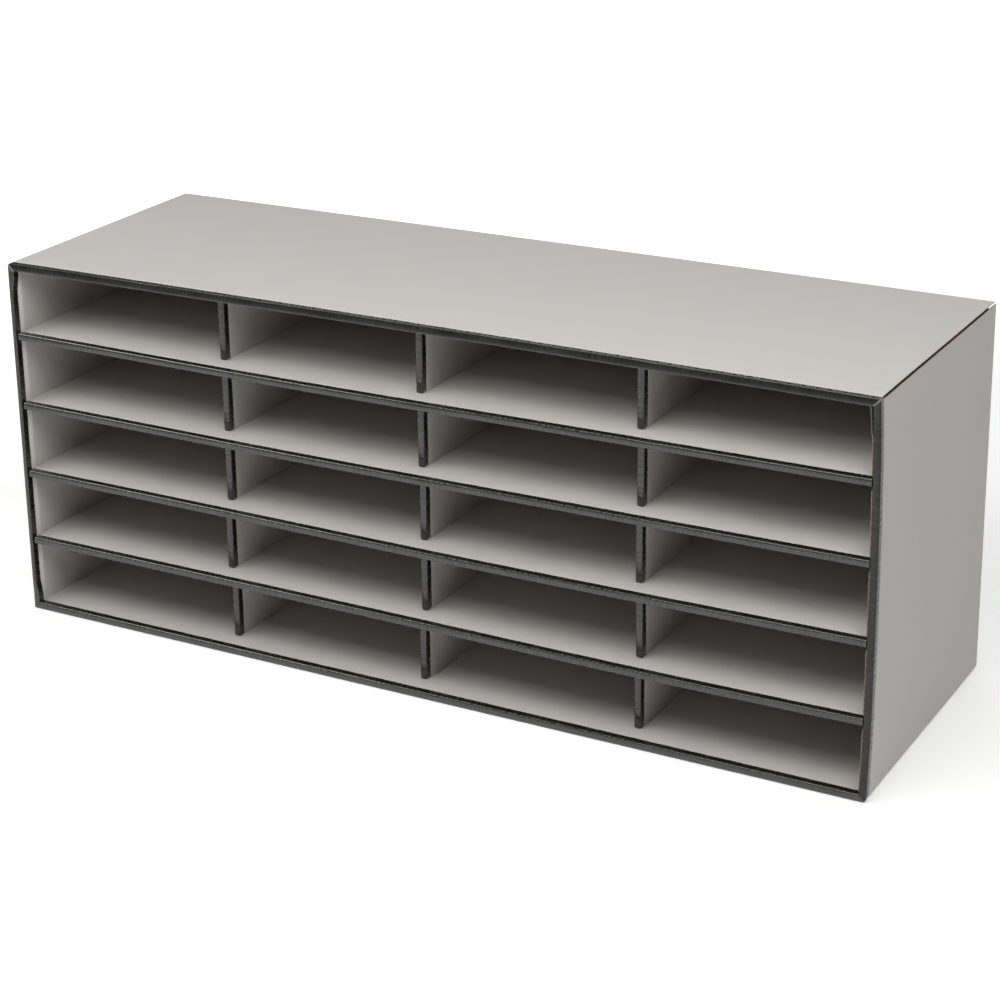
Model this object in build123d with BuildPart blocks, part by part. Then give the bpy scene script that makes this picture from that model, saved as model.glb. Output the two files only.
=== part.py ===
"""Twenty-compartment literature sorter: a corrugated-board casing, four shelves and three dividers that
half-lap like an egg crate, and black plastic channel trims pushed over every front edge.

Frame: millimetres, +Z up, the open front faces -Y, origin on the floor under the middle of the casing.
"""

import os

from build123d import *

# Casing
WIDTH = 954.0
DEPTH = 316.0
HEIGHT = 390.0
BOARD = 7.0  # double-wall corrugated board, faced with grey paper
FOLD_RADIUS = 3.0  # outside of the casing's folded corners
SEAM_GAP = 0.6  # the casing's closing joint, between the top and the right side

# Compartments
ROWS = 5
COLUMN_CLEARS = (236.5, 222.0, 228.0, 232.5)  # between boards, from left to right
DIVIDER_NAMES = ("left", "centre", "right")
DIVIDER_SETBACK = 27.0  # from the shelves' front to the divider trims' front

# Joinery
FIT = 0.25  # clearance all round a tab or a half-lap
TAB_LENGTH = 40.0
TAB_REACH = 4.5  # into a blind slot, which leaves the outer facing whole
TAB_SPREAD = 90.0  # from the middle of a board's depth to each of its two end tabs
BACK_TAB_SPREAD = 320.0  # between the three tabs along the back panel's top and bottom

# Plastic channel trim
TRIM_FACE = 7.6
TRIM_WALL = 0.8
TRIM_WEB = 1.0
TRIM_DEPTH = 8.5
TRIM_EDGE_RADIUS = 1.6
TRIM_END_GAP = 0.3
DIVIDER_TRIM_GAP = 0.5  # above and below each short divider trim

# Worked out from the above
FRONT = -DEPTH / 2
REAR = DEPTH / 2
BOARD_FRONT = FRONT + TRIM_WEB
BOARD_REAR = REAR - BOARD - FIT  # shelves and dividers stop short of the back panel
DIVIDER_FRONT = FRONT + DIVIDER_SETBACK
LAP_Y = (DIVIDER_FRONT + BOARD_REAR) / 2
MIDDLE_Y = (BOARD_FRONT + BOARD_REAR) / 2
GRIP = TRIM_DEPTH - TRIM_WEB  # how far a trim's walls reach over a board
SQUEEZED = TRIM_FACE - 2 * TRIM_WALL  # a board's thickness inside its trim
INNER_WIDTH = WIDTH - 2 * BOARD
INNER_HEIGHT = HEIGHT - 2 * BOARD
ROW_CLEAR = (INNER_HEIGHT - (ROWS - 1) * BOARD) / ROWS
SHELF_BOTTOMS = [BOARD + row * (ROW_CLEAR + BOARD) - BOARD for row in range(1, ROWS)]
DIVIDER_LEFTS = [
    -INNER_WIDTH / 2 + sum(COLUMN_CLEARS[: i + 1]) + i * BOARD
    for i in range(len(DIVIDER_NAMES))
]
SLOT_LENGTH = TAB_LENGTH + 2 * FIT
SLOT_WIDTH = BOARD + 2 * FIT
SLOT_DEPTH = TAB_REACH + 2 * FIT
TAB_CENTRES = (MIDDLE_Y - TAB_SPREAD, MIDDLE_Y + TAB_SPREAD)
BACK_TAB_CENTRES = (-BACK_TAB_SPREAD, 0.0, BACK_TAB_SPREAD)
MIDDLE_Z = HEIGHT / 2
REAR_PLANE = Plane.XZ.offset(-REAR)

os.makedirs("parts", exist_ok=True)


def write(part, name):
    part.label = name
    export_step(part, f"parts/{name}.step")


def ring_corners(inset):
    """Corners of the casing's outline moved inwards, from the lower left, anticlockwise seen from the front."""
    x = WIDTH / 2 - inset
    return [(-x, inset), (x, inset), (x, HEIGHT - inset), (-x, HEIGHT - inset)]


def mitred_outline(side, thickness, shortened=0.0):
    """One side of the casing's rectangle with 45 degree ends, clipped to its rounded corners.

    side 0 is the base, 1 the right, 2 the top and 3 the left. The end at its first corner can be shortened.
    """
    outer = ring_corners(0.0)
    inner = ring_corners(thickness)
    after = (side + 1) % 4
    along = (Vector(*outer[after]) - Vector(*outer[side])).normalized() * shortened
    first_outer = Vector(*outer[side]) + along
    first_inner = Vector(*inner[side]) + along
    with BuildSketch() as outline:
        with BuildLine():
            Polyline(first_outer, outer[after], inner[after], first_inner, close=True)
        make_face()
        with Locations((0, MIDDLE_Z)):
            RectangleRounded(WIDTH, HEIGHT, FOLD_RADIUS, mode=Mode.INTERSECT)
    return outline.sketch


def casing_panel(side, name, slot_centres, along_x, back_tab_centres, shortened=0.0):
    """A panel of the folded casing, with a squeezed front edge, blind slots and notches for the back panel.

    slot_centres are the middles of the slots for the shelves or dividers, along the panel.
    """
    face = {0: BOARD, 1: WIDTH / 2 - BOARD, 2: HEIGHT - BOARD, 3: BOARD - WIDTH / 2}[side]
    inwards = {0: 1, 1: -1, 2: -1, 3: 1}[side]
    outer = face - inwards * BOARD

    def block(along, across, length, thick, y_middle, y_length):
        """A box in the panel: along it, and at a height above its outer face measured inwards."""
        level = outer + inwards * (across + thick / 2)
        centre = (along, y_middle, level) if along_x else (level, y_middle, along)
        size = (length, y_length, thick) if along_x else (thick, y_length, length)
        with Locations(centre):
            Box(*size, mode=Mode.SUBTRACT)

    with BuildPart() as panel:
        with BuildSketch(REAR_PLANE):
            add(mitred_outline(side, BOARD, shortened))
        extrude(amount=REAR - BOARD_FRONT)
        length = WIDTH if along_x else HEIGHT
        middle = 0.0 if along_x else MIDDLE_Z
        grip_y = BOARD_FRONT + GRIP / 2
        block(middle, 0.0, length, TRIM_WALL, grip_y, GRIP)
        block(middle, TRIM_WALL + SQUEEZED, length, BOARD, grip_y, GRIP)
        for along in slot_centres:
            for y in TAB_CENTRES:
                block(along, BOARD - SLOT_DEPTH, SLOT_WIDTH, BOARD, y, SLOT_LENGTH)
        for along in back_tab_centres:
            y_notch = REAR - (BOARD + FIT) / 2
            block(along, BOARD - SLOT_DEPTH, SLOT_LENGTH, BOARD, y_notch, BOARD + FIT)
    write(panel.part, name)


def casing_trim(side, name):
    """A channel trim on one front edge of the casing, mitred to its two neighbours."""
    along = Axis.X if side in (0, 2) else Axis.Z
    reach = WIDTH + HEIGHT
    with BuildPart() as trim:
        with BuildSketch(Plane.XZ.offset(-(FRONT + TRIM_DEPTH))):
            add(mitred_outline(side, TRIM_FACE))
        extrude(amount=TRIM_DEPTH)
        front_edges = trim.edges().filter_by(along).group_by(Axis.Y)[0]
        fillet(front_edges, TRIM_EDGE_RADIUS)
        middle = TRIM_WALL + SQUEEZED / 2
        slot_middle = {
            0: (0, middle),
            1: (WIDTH / 2 - middle, MIDDLE_Z),
            2: (0, HEIGHT - middle),
            3: (middle - WIDTH / 2, MIDDLE_Z),
        }[side]
        slot_size = (reach, SQUEEZED) if along == Axis.X else (SQUEEZED, reach)
        with BuildSketch(Plane.XZ.offset(-(FRONT + TRIM_DEPTH))):
            with Locations(slot_middle):
                Rectangle(*slot_size)
        extrude(amount=GRIP, mode=Mode.SUBTRACT)
    write(trim.part, name)


def back_panel():
    """The closed back, let in flush between the casing's panels on finger tabs."""
    with BuildPart() as panel:
        with BuildSketch(REAR_PLANE):
            with Locations((0, MIDDLE_Z)):
                Rectangle(INNER_WIDTH - 2 * FIT, INNER_HEIGHT - 2 * FIT)
            with Locations(*[(x, MIDDLE_Z) for x in BACK_TAB_CENTRES]):
                Rectangle(TAB_LENGTH, INNER_HEIGHT + 2 * TAB_REACH)
            with Locations((0, MIDDLE_Z)):
                Rectangle(INNER_WIDTH + 2 * TAB_REACH, TAB_LENGTH)
        extrude(amount=BOARD)
    write(panel.part, "back_panel")


def squeeze(centre, length_x, length_z):
    """Thins a board's front edge from both faces, where its trim grips it."""
    x, y, z = centre
    lost = (BOARD - SQUEEZED) / 2
    flat = length_x > length_z
    offset = BOARD / 2 - lost / 2
    steps = [(0, 0, offset), (0, 0, -offset)] if flat else [(offset, 0, 0), (-offset, 0, 0)]
    size = (length_x, GRIP, lost) if flat else (lost, GRIP, length_z)
    with Locations(*[(x + i, y + j, z + k) for i, j, k in steps]):
        Box(*size, mode=Mode.SUBTRACT)


def shelf(number, bottom):
    """A full-width shelf: end tabs into the side panels, and half-lap slots from the rear."""
    length = BOARD_REAR - BOARD_FRONT
    relief = TRIM_FACE - BOARD + FIT
    with BuildPart() as board:
        with BuildSketch(Plane.XY.offset(bottom)):
            with Locations((0, MIDDLE_Y)):
                Rectangle(INNER_WIDTH - 2 * FIT, length)
            with Locations(*[(0, y) for y in TAB_CENTRES]):
                Rectangle(INNER_WIDTH + 2 * TAB_REACH, TAB_LENGTH)
            relief_y = BOARD_FRONT + (GRIP + FIT) / 2
            relief_x = INNER_WIDTH / 2
            with Locations((-relief_x, relief_y), (relief_x, relief_y)):
                Rectangle(2 * relief, GRIP + FIT, mode=Mode.SUBTRACT)
            slot_length = BOARD_REAR - LAP_Y
            slot_y = LAP_Y + slot_length / 2
            with Locations(*[(x + BOARD / 2, slot_y) for x in DIVIDER_LEFTS]):
                Rectangle(SLOT_WIDTH, slot_length, mode=Mode.SUBTRACT)
        extrude(amount=BOARD)
        squeeze((0, BOARD_FRONT + GRIP / 2, bottom + BOARD / 2), WIDTH, BOARD)
    write(board.part, f"shelf_{number}")


def divider(name, left):
    """A full-height divider: end tabs into the top and base, and half-lap slots from the front."""
    front = DIVIDER_FRONT + TRIM_WEB
    with BuildPart() as board:
        with BuildSketch(Plane.YZ.offset(left)):
            with Locations(((front + BOARD_REAR) / 2, MIDDLE_Z)):
                Rectangle(BOARD_REAR - front, INNER_HEIGHT - 2 * FIT)
            with Locations(*[(y, MIDDLE_Z) for y in TAB_CENTRES]):
                Rectangle(TAB_LENGTH, INNER_HEIGHT + 2 * TAB_REACH)
            slot_length = LAP_Y + FIT - front
            slot_y = front + slot_length / 2
            with Locations(*[(slot_y, bottom + BOARD / 2) for bottom in SHELF_BOTTOMS]):
                Rectangle(slot_length, SLOT_WIDTH, mode=Mode.SUBTRACT)
        extrude(amount=BOARD)
        squeeze((left + BOARD / 2, front + GRIP / 2, MIDDLE_Z), BOARD, HEIGHT)
    write(board.part, f"divider_{name}")


def channel_outline():
    """The trim's U section: its face along local X, centred, and its open side towards local +Y."""
    with BuildSketch() as outline:
        with Locations((0, TRIM_DEPTH / 2)):
            Rectangle(TRIM_FACE, TRIM_DEPTH)
        fillet(outline.vertices().group_by(Axis.Y)[0], TRIM_EDGE_RADIUS)
        with Locations((0, TRIM_WEB + GRIP / 2)):
            Rectangle(SQUEEZED, GRIP, mode=Mode.SUBTRACT)
    return outline.sketch


def shelf_trim(number, bottom):
    """One long channel over a shelf's front edge, between the casing's side trims."""
    length = WIDTH - 2 * TRIM_FACE - 2 * TRIM_END_GAP
    start = Plane(
        origin=(-length / 2, FRONT, bottom + BOARD / 2), x_dir=(0, 0, -1), z_dir=(1, 0, 0)
    )
    with BuildPart() as trim:
        with BuildSketch(start):
            add(channel_outline())
        extrude(amount=length)
    write(trim.part, f"shelf_trim_{number}")


def divider_trim(name, left, row):
    """A short channel over one finger of a divider, in one row of compartments."""
    floor = BOARD + row * (ROW_CLEAR + BOARD)
    start = Plane(origin=(left + BOARD / 2, DIVIDER_FRONT, floor + DIVIDER_TRIM_GAP))
    with BuildPart() as trim:
        with BuildSketch(start):
            add(channel_outline())
        extrude(amount=ROW_CLEAR - 2 * DIVIDER_TRIM_GAP)
    write(trim.part, f"divider_{name}_trim_{row + 1}")


shelf_levels = [bottom + BOARD / 2 for bottom in SHELF_BOTTOMS]
divider_middles = [left + BOARD / 2 for left in DIVIDER_LEFTS]

casing_panel(0, "base_panel", divider_middles, True, BACK_TAB_CENTRES)
casing_panel(1, "right_panel", shelf_levels, False, (MIDDLE_Z,))
casing_panel(2, "top_panel", divider_middles, True, BACK_TAB_CENTRES, SEAM_GAP * 2**0.5)
casing_panel(3, "left_panel", shelf_levels, False, (MIDDLE_Z,))
back_panel()

for side, name in enumerate(("base_trim", "right_trim", "top_trim", "left_trim")):
    casing_trim(side, name)

for number, bottom in enumerate(SHELF_BOTTOMS, start=1):
    shelf(number, bottom)
    shelf_trim(number, bottom)

for name, left in zip(DIVIDER_NAMES, DIVIDER_LEFTS):
    divider(name, left)
    for row in range(ROWS):
        divider_trim(name, left, row)
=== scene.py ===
"""Looks of the literature sorter: fluted boards with raw rear edges, ribbed channel trims, floor and light.

Sizes are in metres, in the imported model's frame. Lengths written with MM are millimetres.
"""

import math

import bpy
import numpy as np
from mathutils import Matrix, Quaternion, Vector


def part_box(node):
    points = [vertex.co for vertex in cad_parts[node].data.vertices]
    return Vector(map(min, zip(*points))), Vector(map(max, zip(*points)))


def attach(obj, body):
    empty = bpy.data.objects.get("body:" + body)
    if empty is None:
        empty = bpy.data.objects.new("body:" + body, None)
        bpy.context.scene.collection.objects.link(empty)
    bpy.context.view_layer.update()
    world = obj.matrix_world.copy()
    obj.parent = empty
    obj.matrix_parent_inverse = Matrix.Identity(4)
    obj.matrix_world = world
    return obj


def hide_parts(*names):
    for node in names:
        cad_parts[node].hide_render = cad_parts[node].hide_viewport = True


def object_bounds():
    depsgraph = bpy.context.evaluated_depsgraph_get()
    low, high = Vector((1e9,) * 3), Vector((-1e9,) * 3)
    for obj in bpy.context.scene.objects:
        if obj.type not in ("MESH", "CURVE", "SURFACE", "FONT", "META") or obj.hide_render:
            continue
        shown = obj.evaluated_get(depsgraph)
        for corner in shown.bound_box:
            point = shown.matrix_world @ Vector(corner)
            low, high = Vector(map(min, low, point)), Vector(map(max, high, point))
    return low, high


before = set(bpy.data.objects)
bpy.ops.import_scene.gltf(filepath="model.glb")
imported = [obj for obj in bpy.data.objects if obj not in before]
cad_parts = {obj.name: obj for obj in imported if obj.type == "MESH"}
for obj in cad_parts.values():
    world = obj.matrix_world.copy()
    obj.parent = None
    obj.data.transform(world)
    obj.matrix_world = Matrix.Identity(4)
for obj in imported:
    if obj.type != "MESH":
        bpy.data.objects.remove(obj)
cad_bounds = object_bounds()

MM = 0.001

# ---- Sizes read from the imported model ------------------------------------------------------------
CASING_LOW, CASING_HIGH = cad_bounds
HALF_WIDTH = CASING_HIGH.x
FRONT = CASING_LOW.y
REAR = CASING_HIGH.y
HEIGHT = CASING_HIGH.z
SHELF_COUNT = 4
ROWS = SHELF_COUNT + 1
DIVIDERS = ("left", "centre", "right")
SHELF_BOXES = [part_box(f"shelf_{i + 1}") for i in range(SHELF_COUNT)]
DIVIDER_BOXES = [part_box(f"divider_{name}") for name in DIVIDERS]
SHELF_BOTTOMS = [low.z for low, high in SHELF_BOXES]
DIVIDER_LEFTS = [low.x for low, high in DIVIDER_BOXES]
BOARD = SHELF_BOXES[0][1].z - SHELF_BOXES[0][0].z
TAB_TIP = HALF_WIDTH - SHELF_BOXES[0][1].x  # board left outside a shelf's end tab
BOARD_FRONT = SHELF_BOXES[0][0].y
BOARD_REAR = SHELF_BOXES[0][1].y
TRIM_LOW, TRIM_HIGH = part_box("shelf_trim_1")
TRIM_FACE = TRIM_HIGH.z - TRIM_LOW.z
TRIM_DEPTH = TRIM_HIGH.y - TRIM_LOW.y
SHELF_TRIM_END = TRIM_HIGH.x
DIVIDER_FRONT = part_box("divider_left_trim_1")[0].y

# ---- Joinery and trim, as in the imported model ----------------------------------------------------
FIT = 0.25 * MM
TAB_LENGTH = 40 * MM
TAB_SPREAD = 90 * MM
BACK_TAB_SPREAD = 320 * MM
# Outer rounding of each corner of the casing. It closes at the top right, where two cut edges meet.
CORNER_RADII = {
    ("base", "left"): 3.0 * MM,
    ("base", "right"): 5.0 * MM,
    ("top", "left"): 2.6 * MM,
    ("top", "right"): 0.8 * MM,
}
CUT_RADIUS = 1.0 * MM  # a corner rounded less than this is a cut one
FOLD_CRUSH = BOARD + 1.5 * MM  # from a corner, how far folding has crushed the flutes solid
ROUND_SHARE = 1 - math.sqrt(0.5)  # of its radius, how deep a corner's rounding reaches on the mitre
TRIM_WALL = 0.8 * MM
TRIM_WEB = BOARD_FRONT - FRONT
GRIP = TRIM_DEPTH - TRIM_WEB
MIDDLE_Y = (BOARD_FRONT + BOARD_REAR) / 2
TAB_YS = [MIDDLE_Y + s * TAB_SPREAD for s in (-1, 1)]
LAP_Y = (DIVIDER_FRONT + BOARD_REAR) / 2
INNER = HALF_WIDTH - BOARD
SLOT_FLOOR = TAB_TIP - FIT  # board left under a blind slot
SQUEEZE = (BOARD - TRIM_FACE) / 2 + TRIM_WALL  # what a trim takes of each face of a shelf or divider

# ---- Corrugated board ----------------------------------------------------------------------------
LINER = 0.5 * MM
MIDDLE_LINER = 0.4 * MM
OUTER_FLUTE_TOP = 3.0 * MM  # from the board's outer face to the middle liner
FLUTE_PITCH = 6.5 * MM
INNER_FLUTE_PITCH = 7.8 * MM
MEDIUM = 0.34 * MM
RAW_DEPTH = 14 * MM  # how far in from the rear edge the open flutes are modelled
TIP_GAP = 1.2 * MM  # between a board's crushed front edge and the web of its trim
CRUSH_DEPTH = 1.8 * MM  # of that edge


# ---- Mesh helpers --------------------------------------------------------------------------------
def smoothstep(value, start, end):
    k = np.clip((value - start) / (end - start), 0, 1)
    return k * k * (3 - 2 * k)


def wander(along, seed, wavelength):
    """A smooth irregular wave from about -1 to 1, the same on every run."""
    rng = np.random.default_rng(seed)
    total = np.zeros_like(along, dtype=float)
    for share in (1.0, 0.61, 0.37):
        phase = rng.uniform(0, 2 * math.pi)
        length = wavelength * share * rng.uniform(0.85, 1.15)
        total += share * np.sin(2 * math.pi * along / length + phase)
    return total / 1.98


CLOSEST = 0.04 * MM  # stations nearer than this are merged


def stations(low, high, step, *extra):
    """Evenly spaced values from low to high, and the extra ones that lie between, in order."""
    count = max(1, round((high - low) / step))
    values = np.concatenate([np.linspace(low, high, count + 1), np.array(extra, float)])
    values = np.sort(values[(values >= low - 1e-9) & (values <= high + 1e-9)])
    kept = [values[0]]
    fixed = set(np.round(np.array(extra, float), 7))
    for value in values[1:]:
        if value - kept[-1] > CLOSEST:
            kept.append(value)
        elif round(value, 7) in fixed:
            kept[-1] = value
    return np.array(kept)


def sag_at(x, level):
    """How far a horizontal board's front is out of true at x: level 0 is the base and ROWS the top."""
    if level == 0:
        return np.zeros_like(x)
    if level == ROWS:
        return -1.5 * MM * np.clip(np.abs(x) / HALF_WIDTH, 0, 1) ** 2
    amount, where = SHELF_SAGS[level - 1]
    dip = -amount * np.exp(-(((x - where) / SAG_WIDTH) ** 2))
    return dip + RIGHT_END_RISE * np.clip(x / HALF_WIDTH, 0, 1) ** 3


SHELF_SAGS = ((2.0 * MM, 0.25), (1.8 * MM, 0.06), (1.9 * MM, -0.12), (2.3 * MM, -0.13))  # amount, place
SAG_WIDTH = 0.26
RIGHT_END_RISE = 1.2 * MM
SIDE_BULGE_TOP = 3.2 * MM  # how far the right side's front is pulled in above and below its bulge
SIDE_BULGE_BASE = 2.6 * MM
SIDE_BULGE_HEIGHT = 0.48
LEFT_LEAN = 1.2 * MM  # how far the foot of the left side's front is pushed in


def settle(points):
    """The sags, the right side's bulge and the lean of hand-assembled board, over the whole sorter."""
    x, y, z = points.T
    forward = smoothstep(y, REAR, FRONT)
    levels = np.array([BOARD / 2] + [b + BOARD / 2 for b in SHELF_BOTTOMS] + [HEIGHT - BOARD / 2])
    moves = [sag_at(x, i) for i in range(ROWS + 1)]
    dz = moves[0]
    for i in range(ROWS):
        share = np.clip((z - levels[i] - BOARD / 2) / (levels[i + 1] - levels[i] - BOARD), 0, 1)
        dz = dz * (1 - share) + moves[i + 1] * share
    bulge_z = HEIGHT * SIDE_BULGE_HEIGHT
    above = SIDE_BULGE_TOP * np.clip((z - bulge_z) / (HEIGHT - bulge_z), 0, 1) ** 3
    below = SIDE_BULGE_BASE * np.clip((bulge_z - z) / bulge_z, 0, 1) ** 3
    dx = -(above + below) * forward * smoothstep(x, DIVIDER_LEFTS[2], HALF_WIDTH)
    dx += LEFT_LEAN * (1 - z / HEIGHT) * forward * smoothstep(-x, -DIVIDER_LEFTS[0], HALF_WIDTH)
    depth_share = 0.35 + 0.65 * forward
    return np.stack([x + dx, y, z + dz * depth_share], axis=1)


def mesh_object(name, points, faces, face_materials, materials, smooth_angle=math.radians(35), **values):
    """One mesh of quads, turned to face outwards, with a value at each point for its material to read."""
    a, b, c, d = (points[faces[:, i]] for i in range(4))
    volume = np.einsum("ij,ij->i", a, np.cross(b, c)) + np.einsum("ij,ij->i", a, np.cross(c, d))
    if volume.sum() < 0:
        faces = faces[:, ::-1]
    mesh = bpy.data.meshes.new(name)
    mesh.vertices.add(len(points))
    mesh.vertices.foreach_set("co", points.astype(np.float32).ravel())
    mesh.loops.add(faces.size)
    mesh.loops.foreach_set("vertex_index", faces.astype(np.int32).ravel())
    mesh.polygons.add(len(faces))
    mesh.polygons.foreach_set("loop_start", np.arange(0, faces.size, 4, dtype=np.int32))
    mesh.polygons.foreach_set("material_index", face_materials.astype(np.int32))
    mesh.update(calc_edges=True)
    mesh.polygons.foreach_set("use_smooth", np.ones(len(faces), bool))
    mesh.set_sharp_from_angle(angle=smooth_angle)
    for material in materials:
        mesh.materials.append(material)
    for label, value in values.items():
        attribute = mesh.attributes.new(label, "FLOAT", "POINT")
        attribute.data.foreach_set("value", value.ravel().astype(np.float32))
    piece = bpy.data.objects.new(name, mesh)
    bpy.context.scene.collection.objects.link(piece)
    return piece


def cells_surface(grid, filled, wrapped):
    """Quads round the filled cells of a grid, as indices into its points, and which ones are paper.

    The two faces of the board are paper, and so are the first few cells of its thickness, wrapped,
    at each end.
    """
    count = [len(values) for values in grid]
    padded = np.pad(filled, 1)
    quads, on_face = [], []
    for axis in range(3):
        low = np.delete(padded, -1, axis=axis)
        high = np.delete(padded, 0, axis=axis)
        inside = tuple(slice(None) if i == axis else slice(1, -1) for i in range(3))
        low, high = low[inside], high[inside]
        corner = np.argwhere(low != high)
        outward = low[low != high]
        b, c = (axis + 1) % 3, (axis + 2) % 3
        steps = np.zeros((4, 3), int)
        steps[1, b] = steps[2, b] = steps[2, c] = steps[3, c] = 1
        at = corner[:, None, :] + steps[None]
        index = (at[..., 0] * count[1] + at[..., 1]) * count[2] + at[..., 2]
        index[~outward] = index[~outward][:, ::-1]
        quads.append(index)
        if axis == 2:
            on_face.append((corner[:, 2] == 0) | (corner[:, 2] == count[2] - 1))
        elif axis == 0:
            low_end = (corner[:, 0] == 0) & (corner[:, 2] < wrapped[0])
            on_face.append(low_end | (corner[:, 0] == count[0] - 1) & (corner[:, 2] < wrapped[1]))
        else:
            on_face.append(np.zeros(len(corner), bool))
    return np.concatenate(quads), np.concatenate(on_face)


def board_mesh(name, grid, filled, place, paper, extra=(), wrapped=(0, 0)):
    """A board from a grid of cells over its length, breadth and thickness. Faces are paper, cut edges kraft.

    extra holds (points, quads) of flutes, already in place, to join to it.
    """
    quads, on_face = cells_surface(grid, filled, wrapped)
    used, quads = np.unique(quads, return_inverse=True)
    quads = quads.reshape(-1, 4)
    count = [len(values) for values in grid]
    i, j, k = np.unravel_index(used, count)
    points = [settle(place(grid[0][i], grid[1][j], grid[2][k]))]
    faces, kinds, offset = [quads], [np.where(on_face, 0, 1)], len(used)
    for more_points, more_quads in extra:
        points.append(settle(more_points))
        faces.append(more_quads + offset)
        kinds.append(np.ones(len(more_quads), int))
        offset += len(more_points)
    points, faces, kinds = (np.concatenate(parts) for parts in (points, faces, kinds))
    return mesh_object(name, points, faces, kinds, [paper, KRAFT])


def edges_of(centres, half):
    """Both edges of each of several equal spans, in order."""
    return [centre + edge for centre in centres for edge in (-half, half)]


def between(grid_values, low, high):
    """Which cells of one axis lie between two values."""
    middles = (grid_values[:-1] + grid_values[1:]) / 2
    return (middles > low) & (middles < high)


# ---- Materials -----------------------------------------------------------------------------------
WAVE_PERIOD = 0.314  # metres between the bands of a wave texture of scale 1
# The darkest and the palest colour of each material
PAPER_COLOURS = ((0.470, 0.462, 0.436), (0.530, 0.521, 0.492))
KRAFT_COLOURS = ((0.17, 0.115, 0.07), (0.31, 0.22, 0.14))
PLASTIC_COLOURS = ((0.006, 0.006, 0.0055), (0.016, 0.016, 0.0145))
FLOOR_COLOURS = ((0.90, 0.90, 0.90), (0.93, 0.93, 0.93))
GLINT_AND_WEAR_GREY = (0.42, 0.42, 0.40)  # colour of painted highlights at cut ends, the right trim's bent wall and the top trim's lip, and of paler wear on the ribs' crests
PAPER_BUMP = 0.05 * MM
KRAFT_BUMP = 0.1 * MM
PLASTIC_BUMP = 0.02 * MM
VALLEY_ROUGHNESS = 0.32  # of the plastic between its ribs' crests
CREST_ROUGHNESS = 0.08
FLOOR_GLOW = (0.26, 1.0)  # emission near the sorter and in front, and far behind it to the left
GLOW_SPAN = (0.8, 3.0)  # metres behind and to the left, from where to where it grows


def node_material(name):
    material = bpy.data.materials.new(name)
    material.use_nodes = True
    tree = material.node_tree
    return material, tree, tree.nodes["Principled BSDF"]


def object_position(tree, scale=(1, 1, 1)):
    """Position on the piece in metres, stretched by scale."""
    coordinates = tree.nodes.new("ShaderNodeTexCoord")
    mapping = tree.nodes.new("ShaderNodeMapping")
    mapping.inputs["Scale"].default_value = scale
    tree.links.new(coordinates.outputs["Object"], mapping.inputs["Vector"])
    return mapping.outputs["Vector"]


def noise(tree, position, scale, detail=4.0, roughness=0.55):
    texture = tree.nodes.new("ShaderNodeTexNoise")
    texture.inputs["Scale"].default_value = scale
    texture.inputs["Detail"].default_value = detail
    texture.inputs["Roughness"].default_value = roughness
    tree.links.new(position, texture.inputs["Vector"])
    return texture.outputs["Fac"]


def ranged(tree, value, low, high, from_low=0.0, from_high=1.0):
    node = tree.nodes.new("ShaderNodeMapRange")
    node.inputs["From Min"].default_value = from_low
    node.inputs["From Max"].default_value = from_high
    node.inputs["To Min"].default_value = low
    node.inputs["To Max"].default_value = high
    tree.links.new(value, node.inputs["Value"])
    return node.outputs["Result"]


def combined(tree, operation, first, second):
    node = tree.nodes.new("ShaderNodeMath")
    node.operation = operation
    for socket, value in zip(node.inputs, (first, second)):
        if isinstance(value, (int, float)):
            socket.default_value = value
        else:
            tree.links.new(value, socket)
    return node.outputs["Value"]


def tinted(tree, factor, dark, light):
    node = tree.nodes.new("ShaderNodeMix")
    node.data_type = "RGBA"
    node.inputs["A"].default_value = (*dark, 1)
    node.inputs["B"].default_value = (*light, 1)
    tree.links.new(factor, node.inputs["Factor"])
    return node.outputs["Result"]


def bumped(tree, shader, height, distance, strength=1.0):
    bump = tree.nodes.new("ShaderNodeBump")
    bump.inputs["Strength"].default_value = strength
    bump.inputs["Distance"].default_value = distance
    tree.links.new(height, bump.inputs["Height"])
    tree.links.new(bump.outputs["Normal"], shader.inputs["Normal"])


def paper_material(name, across_flutes):
    """Grey paper facing: short fibres along the flutes, cloudy formation, flutes showing faintly through.

    across_flutes is the axis, "X" or "Z", that crosses the flutes, which all run front to back.
    """
    material, tree, shader = node_material(name)
    plain = object_position(tree)
    along = object_position(tree, (1.0, 0.3, 1.0))
    clouds = noise(tree, plain, 24.0, detail=3.0)
    fibres = noise(tree, along, 1300.0, detail=5.0, roughness=0.7)
    cloudy = combined(tree, "MULTIPLY", clouds, 0.25)
    fibrous = combined(tree, "MULTIPLY", fibres, 0.75)
    shade = ranged(tree, combined(tree, "ADD", cloudy, fibrous), 0.0, 1.0, 0.3, 0.7)
    colour = tinted(tree, shade, *PAPER_COLOURS)
    tree.links.new(colour, shader.inputs["Base Color"])
    tree.links.new(ranged(tree, clouds, 0.56, 0.70, 0.3, 0.7), shader.inputs["Roughness"])
    shader.inputs["Specular IOR Level"].default_value = 0.35
    washboard = tree.nodes.new("ShaderNodeTexWave")
    washboard.bands_direction = across_flutes
    washboard.inputs["Scale"].default_value = WAVE_PERIOD / FLUTE_PITCH
    washboard.inputs["Distortion"].default_value = 0.6
    washboard.inputs["Detail"].default_value = 1.0
    washboard.inputs["Detail Scale"].default_value = 0.2
    tree.links.new(plain, washboard.inputs["Vector"])
    relief = combined(tree, "ADD", combined(tree, "MULTIPLY", washboard.outputs["Fac"], 0.5), fibres)
    bumped(tree, shader, relief, PAPER_BUMP, 0.7)
    return material


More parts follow.
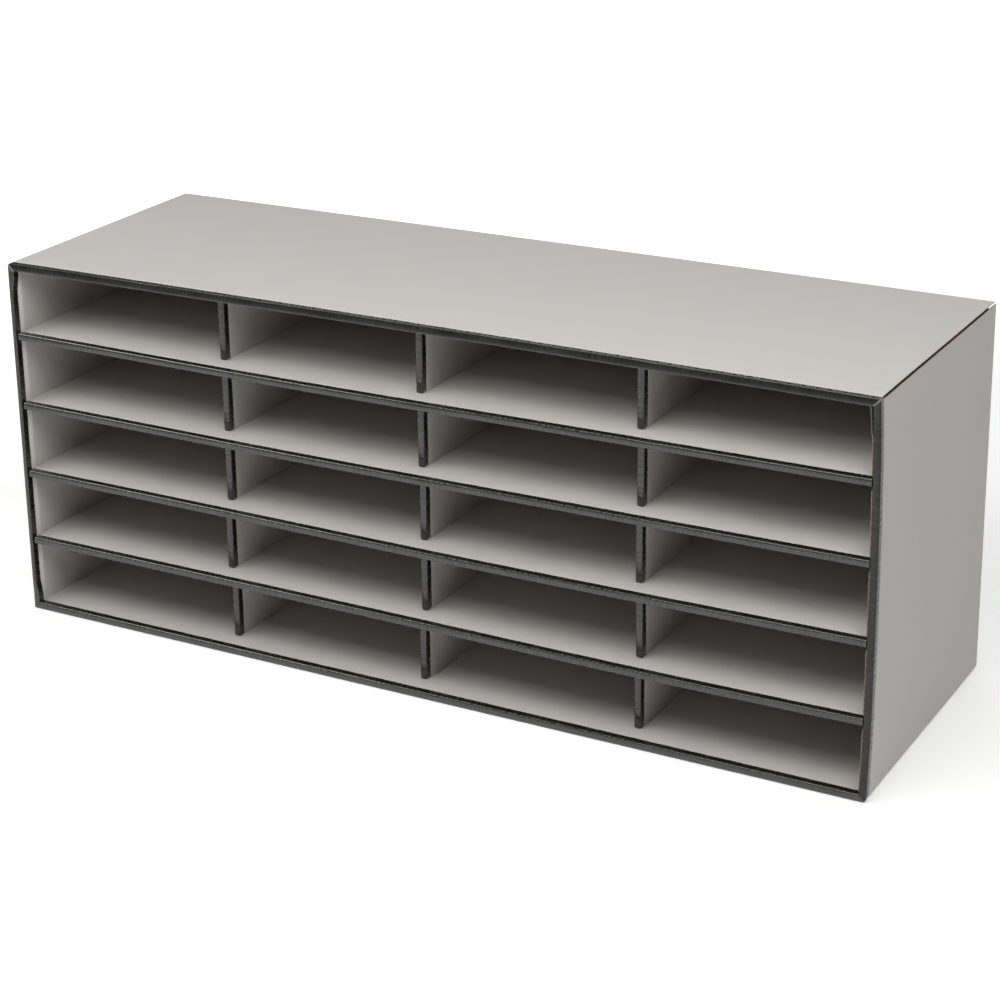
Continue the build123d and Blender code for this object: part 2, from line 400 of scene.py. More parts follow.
def kraft_material():
    """Raw brown board, where a sheet is cut."""
    material, tree, shader = node_material("kraft_edge")
    fibres = noise(tree, object_position(tree, (1.0, 0.3, 1.0)), 900.0, detail=5.0, roughness=0.7)
    colour = tinted(tree, ranged(tree, fibres, 0.0, 1.0, 0.3, 0.7), *KRAFT_COLOURS)
    tree.links.new(colour, shader.inputs["Base Color"])
    shader.inputs["Roughness"].default_value = 0.9
    bumped(tree, shader, fibres, KRAFT_BUMP, 0.8)
    return material


def point_value(tree, label):
    attribute = tree.nodes.new("ShaderNodeAttribute")
    attribute.attribute_name = label
    return attribute.outputs["Fac"]


def trim_material(name, stretch, shine):
    """Black extruded plastic: long faint scuffs, duller between its ribs' crests, painted highlights on cut
    ends, bent wall and lip, crests a little paler from wear and painted highlight.

    stretch draws the scuffs out along the trim, and shine is the strength of its reflections.
    """
    material, tree, shader = node_material(name)
    plain = object_position(tree)
    scuffs = noise(tree, object_position(tree, stretch), 420.0, detail=4.0, roughness=0.6)
    smudges = noise(tree, plain, 60.0, detail=4.0, roughness=0.65)
    grain = noise(tree, plain, 1300.0, detail=2.0)
    dust = ranged(tree, combined(tree, "MULTIPLY", scuffs, smudges), 0.0, 1.0, 0.15, 0.5)
    colour = tinted(tree, dust, *PLASTIC_COLOURS)
    worn = point_value(tree, "worn")
    # Paler where painted highlights fall and where the crests wear, as the point value gives, patchy with
    # the smudges
    glint_and_wear_share = combined(tree, "MULTIPLY", worn, ranged(tree, smudges, 0.5, 1.0, 0.3, 0.7))
    mix = tree.nodes.new("ShaderNodeMix")
    mix.data_type = "RGBA"
    mix.inputs["B"].default_value = (*GLINT_AND_WEAR_GREY, 1)
    tree.links.new(ranged(tree, glint_and_wear_share, 0.0, 1.0, 0.0, 0.9), mix.inputs["Factor"])
    tree.links.new(colour, mix.inputs["A"])
    tree.links.new(mix.outputs["Result"], shader.inputs["Base Color"])
    polished = ranged(tree, point_value(tree, "crest"), VALLEY_ROUGHNESS, CREST_ROUGHNESS)
    gloss = combined(tree, "ADD", combined(tree, "MULTIPLY", dust, 0.1), polished)
    rough = combined(tree, "ADD", gloss, combined(tree, "MULTIPLY", glint_and_wear_share, 0.4))
    tree.links.new(rough, shader.inputs["Roughness"])
    shader.inputs["IOR"].default_value = 1.54
    shader.inputs["Specular IOR Level"].default_value = shine
    bumped(tree, shader, grain, PLASTIC_BUMP, 0.5)
    return material


def floor_material():
    """Pale floor that glows a little, and more so far behind and to the left, to hide the horizon."""
    material, tree, shader = node_material("pale_floor")
    mottling = noise(tree, object_position(tree), 3.0, detail=3.0)
    colour = tinted(tree, mottling, *FLOOR_COLOURS)
    tree.links.new(colour, shader.inputs["Base Color"])
    shader.inputs["Roughness"].default_value = 0.85
    shader.inputs["Emission Color"].default_value = (1.0, 1.0, 1.0, 1)
    where = tree.nodes.new("ShaderNodeSeparateXYZ")
    tree.links.new(object_position(tree), where.inputs["Vector"])
    behind = combined(tree, "SUBTRACT", where.outputs["Y"], where.outputs["X"])
    tree.links.new(ranged(tree, behind, *FLOOR_GLOW, *GLOW_SPAN), shader.inputs["Emission Strength"])
    return material


PAPER_LEVEL = paper_material("grey_paper_level", "X")
PAPER_UPRIGHT = paper_material("grey_paper_upright", "Z")
KRAFT = kraft_material()
SCUFFS_LEVEL = (0.06, 1.0, 1.0)
SCUFFS_UPRIGHT = (1.0, 1.0, 0.06)
PLASTIC_LEVEL = trim_material("black_plastic_level", SCUFFS_LEVEL, 0.85)
PLASTIC_UPRIGHT = trim_material("black_plastic_upright", SCUFFS_UPRIGHT, 0.8)
# Shaded copies of the black plastic, reflections turned down: painted shade for the top and right trims
SHADED_PLASTIC_LEVEL = trim_material("shaded_plastic_level", SCUFFS_LEVEL, 0.45)
SHADED_PLASTIC_UPRIGHT = trim_material("shaded_plastic_upright", SCUFFS_UPRIGHT, 0.4)
# The top and right casing trims look darker than the others in the photograph, so theirs is a shaded copy of
# the same plastic with weaker reflections: painted shade
CASING_PLASTIC = {"base": PLASTIC_LEVEL, "right": SHADED_PLASTIC_UPRIGHT, "top": SHADED_PLASTIC_LEVEL, "left": PLASTIC_UPRIGHT}


# ---- Casing geometry -----------------------------------------------------------------------------
SIDES = ("base", "right", "top", "left")
BACK_TABS = {"base": (-BACK_TAB_SPREAD, 0.0, BACK_TAB_SPREAD), "right": (0.0,)}
BACK_TABS.update(top=BACK_TABS["base"], left=BACK_TABS["right"])
# How far each side's board stops short of its mitre, at its low end and its high end
PANEL_GAPS = {"base": (0, 0), "right": (0, 1.05 * MM), "top": (0, 1.05 * MM), "left": (0, 0)}


def half_length(side):
    return HALF_WIDTH if side in ("base", "top") else HEIGHT / 2


def on_side(side, along, y, inward):
    """Points of a casing side: along it from its middle, and inward from its outer face."""
    if side == "base":
        return np.stack([along, y, inward], axis=-1)
    if side == "top":
        return np.stack([along, y, HEIGHT - inward], axis=-1)
    x = HALF_WIDTH - inward if side == "right" else inward - HALF_WIDTH
    return np.stack([x, y, along + HEIGHT / 2], axis=-1)


def corner_radii(side):
    """Rounding at the low end and the high end of a side."""
    if side in ("base", "top"):
        return CORNER_RADII[side, "left"], CORNER_RADII[side, "right"]
    return CORNER_RADII["base", side], CORNER_RADII["top", side]


MITRE_ZONE = 1.4 * MM
STRAY_WIDTH = 1.0 * MM
STRAY_TOP = 30 * MM  # bare of it below the top's right corner


def mitred(along, inward, half, radii, gaps):
    """Moves the stations at each end of a casing side to its mitre, which is round near the outer face."""
    ends = []
    for radius in radii:
        rise = np.sqrt(np.clip(radius**2 - np.clip(radius - inward, 0, None) ** 2, 0, None))
        ends.append(np.where(inward < radius * ROUND_SHARE, half - radius + rise, half - inward))
    along = np.where(along > half - MITRE_ZONE, along - half + ends[1] - gaps[1], along)
    return np.where(along < MITRE_ZONE - half, along + half - ends[0] + gaps[0], along)


PINCH = 0.36  # how much of its width the left trim and the board in it have lost
PINCH_ENDS = (12 * MM, 34 * MM)


def pinched(side, along):
    """What is left, at each place along a side, of the width of its trim."""
    if side != "left":
        return np.ones_like(along)
    return 1 - PINCH * smoothstep(half_length(side) - np.abs(along), *PINCH_ENDS)


def squeezed(inward, y, outer_wall, inner_wall, share=1.0):
    """A board's front edge is crushed round in its trim's nose, pressed thinner, and swells back behind it.

    share is how much of its usual width the trim has kept.
    """
    tip = BOARD_FRONT + GRIP
    press = 1 - smoothstep(y, tip + 0.3 * MM, tip + 4.5 * MM)
    thickness = BOARD - outer_wall - inner_wall
    left = 1 - np.clip((y - BOARD_FRONT - TIP_GAP) / CRUSH_DEPTH, 0, 1)
    pressed = outer_wall + thickness / 2 + (inward / BOARD - 0.5) * thickness * np.sqrt(1 - 0.98 * left**2)
    return inward * (1 - press) + pressed * share * press


def board_depths(front, rear, step, *extra):
    """Stations from a board's front to its rear, close together where its trim crushes and squeezes it."""
    crush = front + TIP_GAP + np.array([0.08, 0.3, 0.6, 1.0]) * CRUSH_DEPTH
    swell = front + GRIP + np.arange(-0.5, 5.1, 0.7) * MM
    return stations(front + TIP_GAP, rear, step, *crush, *swell, *extra)


def flutes(spans, pitch, low, high, seed, place):
    """A wavy sheet of fluting between two liners, over each span along a rear edge, as (points, quads)."""
    made = []
    for number, (start, end) in enumerate(spans):
        along = stations(start, end, pitch / 10)
        rng = np.random.default_rng(seed + number)
        phase = rng.uniform(0, 2 * math.pi)
        crush = 1 - 0.12 * (0.5 + 0.5 * wander(along, seed + 7 * number, 60 * MM))
        wave = np.sin(2 * math.pi * along / pitch + phase + 0.5 * wander(along, seed + 3, 45 * MM))
        wave = np.sign(wave) * np.abs(wave) ** 0.8
        middle = (low + high) / 2 + (high - low - MEDIUM) / 2 * crush * wave
        ragged = REAR - 0.35 * MM - 0.25 * MM * (0.5 + 0.5 * wander(along, seed + 11, 9 * MM))
        inner_y = np.full_like(along, REAR - RAW_DEPTH + 0.2 * MM)
        rings = [
            place(along, ragged, middle - MEDIUM / 2),
            place(along, ragged, middle + MEDIUM / 2),
            place(along, inner_y, middle + MEDIUM / 2),
            place(along, inner_y, middle - MEDIUM / 2),
        ]
        points = np.stack(rings, axis=1).reshape(-1, 3)
        made.append((points, strip_quads(len(along))))
    return made


def ring_sides(count, ring):
    """Quads joining count rings of points, each a closed loop of ring points."""
    k, j = np.meshgrid(np.arange(count - 1), np.arange(ring), indexing="ij")
    after = (j + 1) % ring
    corners = [k * ring + j, (k + 1) * ring + j, (k + 1) * ring + after, k * ring + after]
    return np.stack(corners, axis=-1).reshape(-1, 4)


def strip_quads(count):
    """Quads round a strip of count rings of four points, closed at both ends."""
    caps = np.array([[0, 1, 2, 3], [(count - 1) * 4 + i for i in (3, 2, 1, 0)]])
    return np.concatenate([ring_sides(count, 4), caps])


PANEL_END = 12 * MM  # from a side's end to clear of its mitre and its crushed fold
FACE_CELL = 0.07 * MM  # the outermost cell of a board's thickness
FLUTE_GAP = 0.3 * MM  # between the flutes and the solid board beside them


def casing_panel(side, slot_centres):
    half = half_length(side)
    tabs = BACK_TABS[side]
    slot_half = BOARD / 2 + FIT
    slot_edges = edges_of(slot_centres, slot_half)
    tab_half = TAB_LENGTH / 2 + FIT
    tab_edges = edges_of(tabs, tab_half)
    end = half - PANEL_END
    between_ends = stations(-end, end, 9 * MM, *slot_edges, *tab_edges)
    along = np.concatenate([[-half, FOLD_CRUSH - half], between_ends, [half - FOLD_CRUSH, half]])
    notch_y = REAR - BOARD - FIT
    y_edges = edges_of(TAB_YS, tab_half)
    depth = board_depths(BOARD_FRONT, REAR, 12 * MM, *y_edges, REAR - RAW_DEPTH, notch_y)
    radii = corner_radii(side)
    round_depths = [radius * ROUND_SHARE for radius in sorted(set(CORNER_RADII.values()))]
    inner_flute = OUTER_FLUTE_TOP + MIDDLE_LINER
    layers = (LINER, SLOT_FLOOR, OUTER_FLUTE_TOP, inner_flute, BOARD - LINER)
    inward = stations(0, BOARD, BOARD, FACE_CELL, *round_depths, *layers)
    wrapped = [np.searchsorted(inward, r * ROUND_SHARE - 1e-7) if r > CUT_RADIUS else 0 for r in radii]
    filled = np.ones((len(along) - 1, len(depth) - 1, len(inward) - 1), bool)
    deep = between(inward, SLOT_FLOOR, BOARD)
    for centre in slot_centres:
        in_slot = between(along, centre - slot_half, centre + slot_half)
        for y in TAB_YS:
            filled[np.ix_(in_slot, between(depth, y - tab_half, y + tab_half), deep)] = False
    at_tab = np.zeros(len(along) - 1, bool)
    for centre in tabs:
        at_tab |= between(along, centre - tab_half, centre + tab_half)
    raw = between(depth, REAR - RAW_DEPTH, REAR)
    fluted = ~at_tab
    fluted[[0, -1]] = False
    for low, high in ((LINER, OUTER_FLUTE_TOP), (inner_flute, BOARD - LINER)):
        filled[np.ix_(fluted, raw, between(inward, low, high))] = False
    filled[np.ix_(at_tab, between(depth, notch_y, REAR), deep)] = False

    def place(s, y, t):
        share = pinched(side, s)
        s = mitred(s, t, half, radii, PANEL_GAPS[side])
        return on_side(side, s, y, squeezed(t, y, TRIM_WALL, BOARD + TRIM_WALL - TRIM_FACE, share))

    edges = [FOLD_CRUSH - half, *tab_edges, half - FOLD_CRUSH]
    spans = [(a + FLUTE_GAP, b - FLUTE_GAP) for a, b in zip(edges[::2], edges[1::2])]
    seed = 100 * (SIDES.index(side) + 1)
    waves = flutes(spans, FLUTE_PITCH, LINER, OUTER_FLUTE_TOP, seed, place)
    waves += flutes(spans, INNER_FLUTE_PITCH, inner_flute, BOARD - LINER, seed + 50, place)
    if side == "right":
        waves += stray_liner()
    paper = PAPER_LEVEL if side in ("base", "top") else PAPER_UPRIGHT
    piece = board_mesh(f"{side}_panel_board", (along, depth, inward), filled, place, paper, waves, wrapped)
    finish_piece(piece, f"{side}_panel")


def stray_liner():
    """Strips of the right panel's inner liner, one in each row, outside its trim, as (points, quads)."""
    made = []
    for row in range(ROWS):
        low = row_floor(row) + 2.5 * MM
        high = row_ceiling(row) - (2.5 * MM if row < SHELF_COUNT else STRAY_TOP)
        along = stations(low, high, 1.5 * MM) - HEIGHT / 2
        ends = smoothstep(np.minimum(along - along[0], along[-1] - along), 0, 3 * MM)
        width = STRAY_WIDTH * (0.25 + 0.75 * ends) * (0.85 + 0.15 * wander(along, 40 + row, 12 * MM))
        front = FRONT + 1.4 * MM + 0.5 * MM * wander(along, 60 + row, 9 * MM)
        inner = np.full_like(along, TRIM_FACE - 0.15 * MM)
        rear = np.full_like(along, FRONT + TRIM_DEPTH + 1.5 * MM)
        corners = [(front, inner), (front, inner + width), (rear, inner + width), (rear, inner)]
        rings = [on_side("right", along, y, inward) for y, inward in corners]
        made.append((np.stack(rings, axis=1).reshape(-1, 3), strip_quads(len(along))))
    return made


def finish_piece(piece, node):
    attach(piece, "root")
    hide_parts(node)


def back_panel():
    tab_half = TAB_LENGTH / 2
    inner_z = (BOARD + FIT, HEIGHT - BOARD - FIT)
    tip_z = (TAB_TIP, HEIGHT - TAB_TIP)
    tab_xs = edges_of(BACK_TABS["base"], tab_half)
    middle_z = HEIGHT / 2
    tab_end = HALF_WIDTH - TAB_TIP
    across = stations(-tab_end, tab_end, 12 * MM, FIT - INNER, INNER - FIT, *tab_xs)
    up = stations(*tip_z, 12 * MM, *inner_z, middle_z - tab_half, middle_z + tab_half)
    through = np.array([REAR - BOARD, REAR])
    wide = between(across, FIT - INNER, INNER - FIT)
    tall = between(up, *inner_z)
    filled = np.outer(wide, tall)
    for centre in BACK_TABS["base"]:
        at_tab = between(across, centre - tab_half, centre + tab_half)
        filled |= np.outer(at_tab, np.ones(len(up) - 1, bool))
    at_tab = between(up, middle_z - tab_half, middle_z + tab_half)
    filled |= np.outer(np.ones(len(across) - 1, bool), at_tab)

    def place(x, z, y):
        return np.stack([x, y, z], axis=-1)

    piece = board_mesh("back_panel_board", (across, up, through), filled[:, :, None], place, PAPER_UPRIGHT)
    finish_piece(piece, "back_panel")


def shelf(number):
    bottom = SHELF_BOTTOMS[number]
    tab_half = TAB_LENGTH / 2
    end = INNER - FIT
    relief = SHELF_TRIM_END - 0.5 * MM
    slots = [(left - FIT, left + BOARD + FIT) for left in DIVIDER_LEFTS]
    tab_end = HALF_WIDTH - TAB_TIP
    across = stations(-tab_end, tab_end, 8 * MM, -end, end, -relief, relief, *np.ravel(slots))
    tip = BOARD_FRONT + GRIP
    y_edges = edges_of(TAB_YS, tab_half)
    depth = board_depths(BOARD_FRONT, BOARD_REAR, 10 * MM, *y_edges, LAP_Y, tip + FIT)
    filled = np.outer(between(across, -end, end), np.ones(len(depth) - 1, bool))
    for y in TAB_YS:
        filled |= np.outer(np.ones(len(across) - 1, bool), between(depth, y - tab_half, y + tab_half))
    filled[np.ix_(~between(across, -relief, relief), between(depth, BOARD_FRONT, tip + FIT))] = False
    for low, high in slots:
        filled[np.ix_(between(across, low, high), between(depth, LAP_Y, BOARD_REAR))] = False

    def place(x, y, t):
        return np.stack([x, y, bottom + squeezed(t, y, SQUEEZE, SQUEEZE)], axis=-1)

    thickness = np.array([0.0, BOARD])
    name = f"shelf_{number + 1}_board"
    piece = board_mesh(name, (across, depth, thickness), filled[:, :, None], place, PAPER_LEVEL)
    finish_piece(piece, f"shelf_{number + 1}")


# How far each row's divider trim stands to the right of its board's middle, from the bottom row up
DIVIDER_DRIFT = {
    "left": (1.0 * MM, -2.6 * MM, 0.3 * MM, 0.8 * MM, 0.2 * MM),
    "centre": (-2.6 * MM, 0.4 * MM, 0.9 * MM, 0.2 * MM, 0.0),
    "right": (-1.0 * MM, 0.2 * MM, -0.5 * MM, 0.5 * MM, 0.2 * MM),
}


def row_floor(row):
    return BOARD if row == 0 else SHELF_BOTTOMS[row - 1] + BOARD


def row_ceiling(row):
    return SHELF_BOTTOMS[row] if row < SHELF_COUNT else HEIGHT - BOARD


def drift(name, y, z):
    """Sideways bow of a divider's free front fingers, none at its lap."""
    amount = np.zeros_like(z)
    for row, value in enumerate(DIVIDER_DRIFT[name]):
        in_row = (z > row_floor(row) - BOARD / 2) & (z < row_ceiling(row) + BOARD / 2)
        amount = np.where(in_row, value, amount)
    return amount * (1 - smoothstep(y, DIVIDER_FRONT + TRIM_DEPTH, LAP_Y))


def divider(name, left):
    front = DIVIDER_FRONT + TRIM_WEB
    tab_half = TAB_LENGTH / 2
    y_edges = edges_of(TAB_YS, tab_half)
    depth = board_depths(front, BOARD_REAR, 8 * MM, *y_edges, LAP_Y + FIT)
    slots = [(bottom - FIT, bottom + BOARD + FIT) for bottom in SHELF_BOTTOMS]
    ends = (BOARD + FIT, HEIGHT - BOARD - FIT)
    up = stations(TAB_TIP, HEIGHT - TAB_TIP, 10 * MM, *ends, *np.ravel(slots))
    filled = np.outer(np.ones(len(depth) - 1, bool), between(up, *ends))
    for y in TAB_YS:
        filled |= np.outer(between(depth, y - tab_half, y + tab_half), np.ones(len(up) - 1, bool))
    for low, high in slots:
        filled[np.ix_(between(depth, front, LAP_Y + FIT), between(up, low, high))] = False

    def place(y, z, t):
        press = squeezed(t, y - (DIVIDER_FRONT - FRONT), SQUEEZE, SQUEEZE)
        return np.stack([left + press + drift(name, y, z), y, z], axis=-1)

    thickness = np.array([0.0, BOARD])
    board_name = f"divider_{name}_board"
    piece = board_mesh(board_name, (depth, up, thickness), filled[:, :, None], place, PAPER_UPRIGHT)
    finish_piece(piece, f"divider_{name}")


# ---- Trims ---------------------------------------------------------------------------------------
CORNER_STEPS = 8
NOSE_WIDTH = 1.5 * MM
NOSE_DEPTH = 1.4 * MM
CROWN = 0.55 * MM  # how far the middle of the front stands out from its corners
LEAN = 0.12 * MM  # how far each wall's tip leans in
RIB_HEIGHT = 0.30 * MM
CREST_GLINT_AND_WEAR = 0.025  # how pale the ribs' crests are painted at the nose: partly wear, partly painted highlight of the ripples
FRONT_SHARES = np.array([0.2, 0.45, 0.7])  # points across the flat of the front, from its middle
WALL_SHARES = np.linspace(0.2, 1.0, 5)  # and along each wall, from the front to its tip


def channel_section():
    """The channel's outer and inner outlines, as (across, depth), from one wall's tip to the other's.

    The front is crowned, with quarter-ellipse corners, and the walls lean in a little to grip the board.
    """
    half = TRIM_FACE / 2
    turn = np.linspace(0, math.pi / 2, CORNER_STEPS)

    def outline(half_width, web, width_radius, depth_radius, lean, tip):
        start = half_width - width_radius
        front = np.stack([start * FRONT_SHARES, np.full(len(FRONT_SHARES), web)], axis=1)
        round_depth = web + depth_radius * (1 - np.cos(turn))
        corner = np.stack([start + width_radius * np.sin(turn), round_depth], axis=1)
        nose = np.concatenate([front, corner])
        nose[:, 1] += CROWN * (nose[:, 0] / half_width) ** 2
        run = nose[-1, 1] + (tip - nose[-1, 1]) * WALL_SHARES
        right = np.concatenate([nose, np.stack([half_width - lean * WALL_SHARES, run], axis=1)])
        return np.concatenate([right[::-1] * (-1, 1), right])

    outer = outline(half, 0.0, NOSE_WIDTH, NOSE_DEPTH, LEAN, TRIM_DEPTH)
    inner_radii = (NOSE_WIDTH - TRIM_WALL, NOSE_DEPTH - TRIM_WALL)
    inner = outline(half - TRIM_WALL, TRIM_WEB, *inner_radii, LEAN, TRIM_DEPTH - 0.2 * MM)
    return outer, inner


def channel(name, node, along, place, seed, material, cut_glints, upturn=0.0, painted_glint=None):
    """A ribbed channel swept over stations along its length. place(along, across, depth) gives the points.

    cut_glints are how pale its cut ends are painted, a painted highlight, and upturn how steeply its front
    faces outwards.
    painted_glint, if given, is how much painted highlight each point gets, as a function of (along, across,
    depth).
    """
    outer, inner = channel_section()
    ring = np.concatenate([outer, inner[::-1]])
    n, half_ring = len(ring), len(outer)
    s = np.repeat(along[:, None], n, axis=1)
    across = np.repeat(ring[None, :, 0], len(along), axis=0)
    depth = np.repeat(ring[None, :, 1], len(along), axis=0)
    is_outer = np.arange(n)[None, :] < half_ring
    strength = 0.5 + 0.5 * wander(along, seed, 70 * MM)[:, None]
    drifted = s + 1.5 * MM * wander(along, seed + 4, 50 * MM)[:, None]
    fine, coarse = (
        0.5 - 0.5 * np.cos(2 * math.pi * drifted / pitch) for pitch in (FLUTE_PITCH, 2 * FLUTE_PITCH)
    )
    waves = 0.6 * fine + 0.4 * coarse
    ribs = waves * strength
    crest = np.clip(1.15 - 1.7 * waves * (0.45 + 0.55 * strength), 0, 1) * np.ones_like(depth)
    nose = np.clip(1 - depth / (NOSE_DEPTH + CROWN), 0, 1)
    # Rib crests at the nose painted a little paler: partly wear, partly painted highlight of the ripples
    worn = CREST_GLINT_AND_WEAR * (1 - ribs) * is_outer * nose
    if painted_glint is not None:
        worn = np.maximum(worn, painted_glint(s, across, depth) * is_outer)
    # Cut ends painted pale: a painted highlight
    worn[:2] = cut_glints[0]
    worn[-2:] = cut_glints[1]
    wobble = 0.12 * MM * (1 + wander(along, seed + 1, 30 * MM)[:, None])
    lean = (upturn + 0.05 * wander(along, seed + 3, 140 * MM)[:, None]) * across
    side = np.clip(np.abs(across) / (TRIM_FACE / 2), 0, 1) ** 4
    bulge = RIB_HEIGHT * ribs * np.clip(4 * side * (1 - side) + 0.3, 0, 1)
    across = across - np.sign(across) * is_outer * side * (0.4 * bulge + 0.3 * wobble)
    tilt = lean + (0.05 + upturn) * TRIM_FACE / 2
    depth = depth + is_outer * nose * (0.8 * bulge + 0.6 * wobble) + nose * tilt
    tip = np.clip((depth - TRIM_DEPTH + 1.5 * MM) / (1.5 * MM), 0, 1)
    depth = depth - tip * 0.18 * MM * (1 + wander(s + across * 40, seed + 2, 55 * MM))
    points = settle(place(s.ravel(), across.ravel(), depth.ravel()))
    j = np.arange(half_ring - 1)
    cap = np.stack([j, j + 1, n - 2 - j, n - 1 - j], axis=-1)
    far_cap = (cap + (len(along) - 1) * n)[:, ::-1]
    quads = np.concatenate([ring_sides(len(along), n), cap, far_cap])
    kinds = np.zeros(len(quads), int)
    piece = mesh_object(name, points, quads, kinds, [material], math.radians(50), worn=worn, crest=crest)
    finish_piece(piece, node)


# How far each casing trim stops short of its mitre, at its low end and its high end
TRIM_GAPS = {
    "base": (0.1 * MM, 0.15 * MM),
    "right": (0.15 * MM, 0.45 * MM),
    "top": (0.35 * MM, 0.4 * MM),
    "left": (0.1 * MM, 0.35 * MM),
}
# How pale each casing trim's cut ends are painted: a painted highlight
CUT_GLINTS = {"base": (0.1, 0.1), "right": (0.1, 1.0), "top": (0.9, 1.0), "left": (0.1, 0.9)}
TRIM_STEP = 0.8 * MM
TRIM_END = 9.5 * MM  # from a side's end to clear of its trim's mitre
CUT_EDGE = 0.25 * MM  # how far in from a trim's cut end its painted highlight reaches
SHORT_CUT_GLINTS = (0.12, 0.12)  # painted highlight at the cut ends of the trims between them
TOP_UPTURN = 0.16  # slope of the top trim's front
SPRUNG_LENGTH = 42 * MM  # of the right trim's inner wall, at the top, that is bent off its board
SPRUNG = 2.9 * MM  # how far it is bent off
LIP_GLINT = 0.6  # how pale the top trim's lower edge is painted: a painted reflection of the floor


def casing_trim(side):
    half = half_length(side)
    near_end = half - np.array([0, CUT_EDGE, 2 * CUT_EDGE])
    end = half - TRIM_END
    along = np.concatenate([-near_end, stations(-end, end, TRIM_STEP), near_end[::-1]])

    def sprung(s):
        if side != "right":
            return np.zeros_like(s)
        start = half - SPRUNG_LENGTH
        return smoothstep(s, start, start + 10 * MM) * (0.4 + 0.6 * (s - start) / SPRUNG_LENGTH)

    def place(s, across, depth):
        inward = TRIM_FACE / 2 - across
        points_along = mitred(s, inward, half, corner_radii(side), TRIM_GAPS[side])
        inward = inward * pinched(side, s) + SPRUNG * sprung(s) * smoothstep(-across, 1.2 * MM, 3.4 * MM)
        crack = smoothstep(-across, 1.8 * MM, 2.6 * MM) * (1 - smoothstep(-across, 3.2 * MM, 3.6 * MM))
        return on_side(side, points_along, FRONT + depth + SPRUNG * sprung(s) * crack, inward)

    # Painted highlight along the right trim's bent-off inner wall, and painted reflection of the floor along
    # the top trim's lower lip
    def painted_glint(s, across, depth):
        corner_glint = (depth < NOSE_DEPTH + CROWN + 1.5 * MM) * smoothstep(-across, 3.0 * MM, 3.6 * MM)
        if side == "right":
            return corner_glint * smoothstep(s, half - SPRUNG_LENGTH, half - SPRUNG_LENGTH + 4 * MM)
        return corner_glint * LIP_GLINT * (side == "top")

    upturn = TOP_UPTURN if side == "top" else 0.0
    seed = 500 + SIDES.index(side)
    material = CASING_PLASTIC[side]
    channel(f"{side}_trim_channel", f"{side}_trim", along, place, seed, material, CUT_GLINTS[side], upturn, painted_glint)


def shelf_trim(number):
    middle = SHELF_BOTTOMS[number] + BOARD / 2
    burr = SHELF_TRIM_END - CUT_EDGE
    along = stations(-SHELF_TRIM_END, SHELF_TRIM_END, TRIM_STEP, -burr, burr)

    def place(s, across, depth):
        return np.stack([s, FRONT + depth, middle + across], axis=-1)

    node = f"shelf_trim_{number + 1}"
    channel(f"{node}_channel", node, along, place, 600 + 10 * number, PLASTIC_LEVEL, SHORT_CUT_GLINTS)


def divider_trim(name, left, row):
    low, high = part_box(f"divider_{name}_trim_{row + 1}")
    along = stations(low.z, high.z, TRIM_STEP, low.z + CUT_EDGE, high.z - CUT_EDGE)
    seed = 700 + 50 * DIVIDERS.index(name) + 5 * row
    rng = np.random.default_rng(seed)
    tilt = rng.uniform(-0.5, 0.5) * MM
    offset = DIVIDER_DRIFT[name][row]

    def place(s, across, depth):
        lean = tilt * (s - (low.z + high.z) / 2) / (high.z - low.z)
        worn_end = 1 - smoothstep(np.minimum(s - low.z, high.z - s), 0, 1.4 * MM)
        across = across * (1 - 0.16 * worn_end)
        back = 0.7 * MM * worn_end * np.clip(1 - depth / NOSE_DEPTH, 0, 1)
        x = left + BOARD / 2 + across + offset + lean
        return np.stack([x, DIVIDER_FRONT + depth + back, s], axis=-1)

    node = f"divider_{name}_trim_{row + 1}"
    channel(f"{node}_channel", node, along, place, seed, PLASTIC_UPRIGHT, SHORT_CUT_GLINTS)


# ---- The whole sorter ----------------------------------------------------------------------------
shelf_middles = [bottom + BOARD / 2 - HEIGHT / 2 for bottom in SHELF_BOTTOMS]
divider_middles = [left + BOARD / 2 for left in DIVIDER_LEFTS]

for side in SIDES:
    casing_panel(side, divider_middles if side in ("base", "top") else shelf_middles)
    casing_trim(side)
back_panel()
for number in range(SHELF_COUNT):
    shelf(number)
    shelf_trim(number)
for name, left in zip(DIVIDERS, DIVIDER_LEFTS):
    divider(name, left)
    for row in range(ROWS):
        divider_trim(name, left, row)


# ---- Floor, light and camera ---------------------------------------------------------------------
def floor():
    bpy.ops.mesh.primitive_circle_add(vertices=96, radius=30, fill_type="NGON", location=(0, 0, -0.2 * MM))
    ground = bpy.context.object
    ground.name = "floor"
    ground.data.materials.append(floor_material())


AMBIENT = 0.10


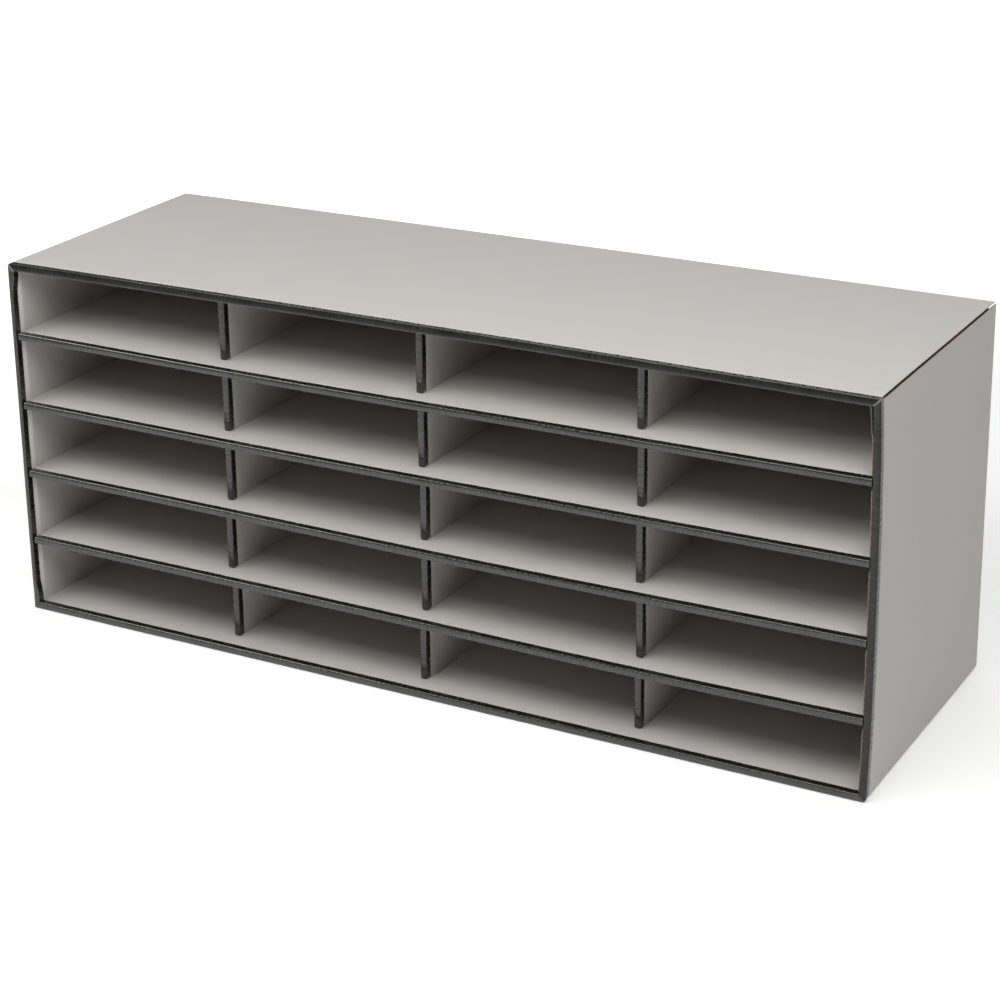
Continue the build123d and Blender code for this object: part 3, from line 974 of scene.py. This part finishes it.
def softbox(name, position, aim, size, power):
    light = bpy.data.lights.new(name, "AREA")
    light.shape = "RECTANGLE"
    light.size, light.size_y = size
    light.energy = power
    lamp = bpy.data.objects.new(name, light)
    lamp.location = position
    lamp.rotation_euler = (Vector(aim) - Vector(position)).to_track_quat("-Z", "Y").to_euler()
    bpy.context.scene.collection.objects.link(lamp)


def studio():
    """Softboxes high in front and one over the floor behind, in a dim room that the camera sees as white."""
    world = bpy.data.worlds.new("studio")
    bpy.context.scene.world = world
    world.use_nodes = True
    tree = world.node_tree
    seen = tree.nodes.new("ShaderNodeLightPath").outputs["Is Camera Ray"]
    background = tree.nodes["Background"]
    background.inputs["Color"].default_value = (1.0, 1.0, 1.0, 1)
    tree.links.new(combined(tree, "MAXIMUM", seen, AMBIENT), background.inputs["Strength"])
    softbox("left_softbox", (-1.15, -0.8, 1.34), (-0.35, -0.1, 0.25), (1.0, 0.68), 12.4)
    softbox("front_softbox", (0.12, -0.93, 1.18), (0.08, -0.1, 0.25), (0.9, 0.5), 7.6)
    softbox("right_softbox", (0.95, -0.66, 1.42), (0.4, -0.05, 0.3), (0.6, 0.4), 8.0)
    softbox("floor_softbox", (0.0, 3.4, 2.6), (0.0, 3.4, 0.0), (6.0, 3.5), 110)


def camera():
    """The photograph's viewpoint: from the right, looking down, its frame shifted below the lens's axis."""
    azimuth, elevation, distance = math.radians(28.54), math.radians(18.31), 2.488
    aim = Vector((-0.0042, 0.0392, 0.3051))
    level = math.cos(elevation)
    away = Vector((math.sin(azimuth) * level, -math.cos(azimuth) * level, math.sin(elevation)))
    data = bpy.data.cameras.new("camera")
    data.lens = 87.4
    data.sensor_width = 36
    data.shift_y = -0.15
    view = bpy.data.objects.new("camera", data)
    view.location = aim + away * distance
    view.rotation_mode = "QUATERNION"
    roll = Quaternion((0, 0, 1), math.radians(-0.7))
    view.rotation_quaternion = (-away).to_track_quat("-Z", "Y") @ roll
    bpy.context.scene.collection.objects.link(view)
    bpy.context.scene.camera = view


floor()
studio()
camera()
bpy.context.scene.view_settings.view_transform = "Standard"
